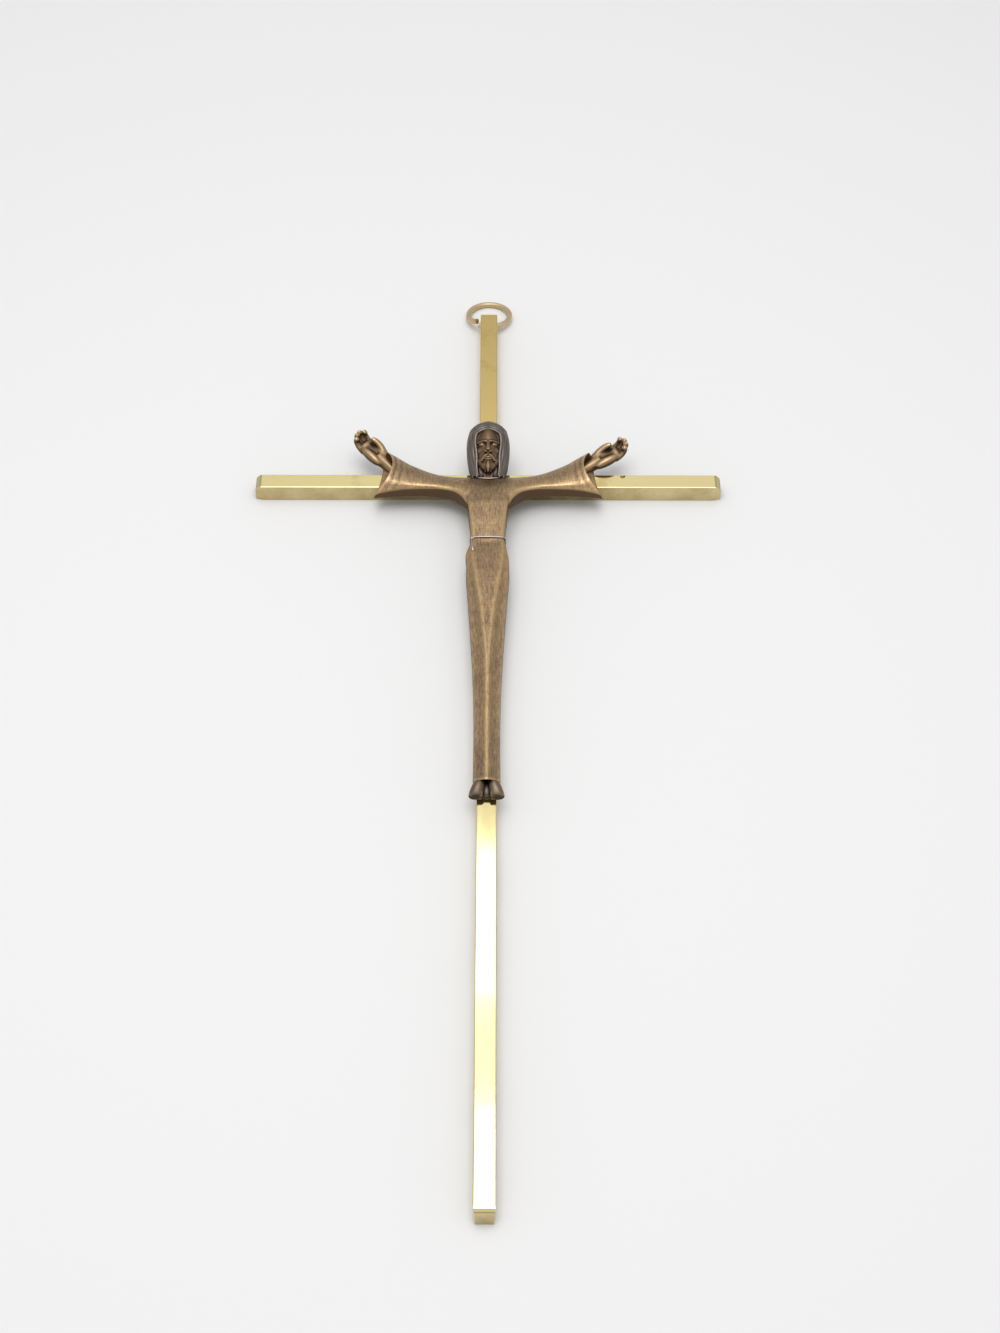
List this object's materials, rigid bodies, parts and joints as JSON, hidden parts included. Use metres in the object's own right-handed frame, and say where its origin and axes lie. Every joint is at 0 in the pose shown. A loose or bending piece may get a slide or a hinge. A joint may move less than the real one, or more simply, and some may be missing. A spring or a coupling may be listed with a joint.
{
  "type": "crucifix",
  "caption": "Wall crucifix of square brass bar with a robed cast bronze figure, arms outstretched, and a split wire ring at the top to hang it by.",
  "frame": {"origin": "middle of the crossing, on the flat back of the bars", "axes": "+X along the crossbar to the viewer's right, +Y up the upright to the ring, +Z out of the front"},
  "size_m": [0.155, 0.3609, 0.0199],
  "materials": {
    "bar_brass": "satin drawn brass bar, lightly polished",
    "figure_bronze": "cast bronze, brown patina rubbed bright on the ridges",
    "ring_brass": "bright drawn wire",
    "screw_steel": "zinc plated"
  },
  "bodies": {
    "cross": {"upright": "bar_brass", "crossbar": "bar_brass", "corpus": "figure_bronze", "corpus_screws": "screw_steel"},
    "ring": {"hanging_ring": "ring_brass"}
  },
  "joints": [
    {"name": "ring_swing", "type": "hinge", "parent": "cross", "child": "ring", "pos_m": [0, 0.0816, 0.003], "axis": [1, 0, 0], "range_deg": [-150, 165]}
  ]
}
